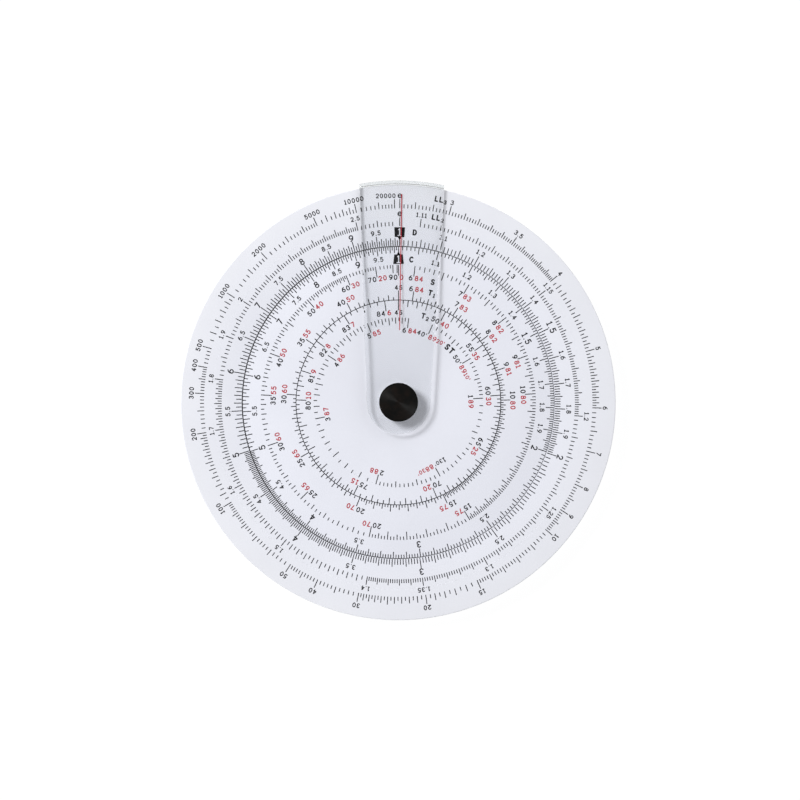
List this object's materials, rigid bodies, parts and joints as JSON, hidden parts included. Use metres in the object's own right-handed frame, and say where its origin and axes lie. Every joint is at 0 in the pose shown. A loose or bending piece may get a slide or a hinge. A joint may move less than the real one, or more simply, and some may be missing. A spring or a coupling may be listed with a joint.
{
  "type": "circular slide rule",
  "caption": "Flat round slide rule: an inner dial turns in an outer ring, under a clear radial cursor on a central pivot with black knobs.",
  "frame": {"origin": "on the pivot's axis, on the outer face of the back knob, which the rule rests on", "axes": "+Z out of the front face, along the pivot's axis; +Y from the pivot along the cursor at rest; +X to the right"},
  "size_m": [0.11, 0.1111, 0.0099],
  "materials": {
    "white_vinyl": "satin, faintly bluish white, printed",
    "core_vinyl": "matte",
    "clear_acrylic": "clear, polished",
    "red_ink": "matte ink in an engraved line",
    "black_anodised": "black anodised, lathe-turned",
    "nylon": "natural white",
    "brass": "turned",
    "steel": "satin"
  },
  "bodies": {
    "ring": {"ring_front_sheet": "white_vinyl", "ring_core": "core_vinyl", "ring_back_sheet": "white_vinyl"},
    "dial": {"dial_front_sheet": "white_vinyl", "dial_core": "core_vinyl", "dial_back_sheet": "white_vinyl", "hub_bush": "brass"},
    "cursor": {"cursor_front_blade": "clear_acrylic", "cursor_back_blade": "clear_acrylic", "cursor_bridge": "clear_acrylic", "front_hairline": "red_ink", "back_hairline": "red_ink"},
    "pivot": {"front_knob": "black_anodised", "back_knob": "black_anodised", "pivot_stud": "steel", "front_knob_washer": "nylon", "back_knob_washer": "nylon", "front_spacer": "nylon", "back_spacer": "nylon", "wave_spring": "steel"}
  },
  "joints": [
    {"name": "dial_turn", "type": "hinge", "parent": "ring", "child": "dial", "pos_m": [0, 0, 0.00495], "axis": [0, 0, 1], "continuous": true},
    {"name": "cursor_turn", "type": "hinge", "parent": "ring", "child": "cursor", "pos_m": [0, 0, 0.00495], "axis": [0, 0, 1], "continuous": true},
    {"name": "pivot_spin", "type": "hinge", "parent": "cursor", "child": "pivot", "pos_m": [0, 0, 0.00495], "axis": [0, 0, 1], "continuous": true}
  ]
}
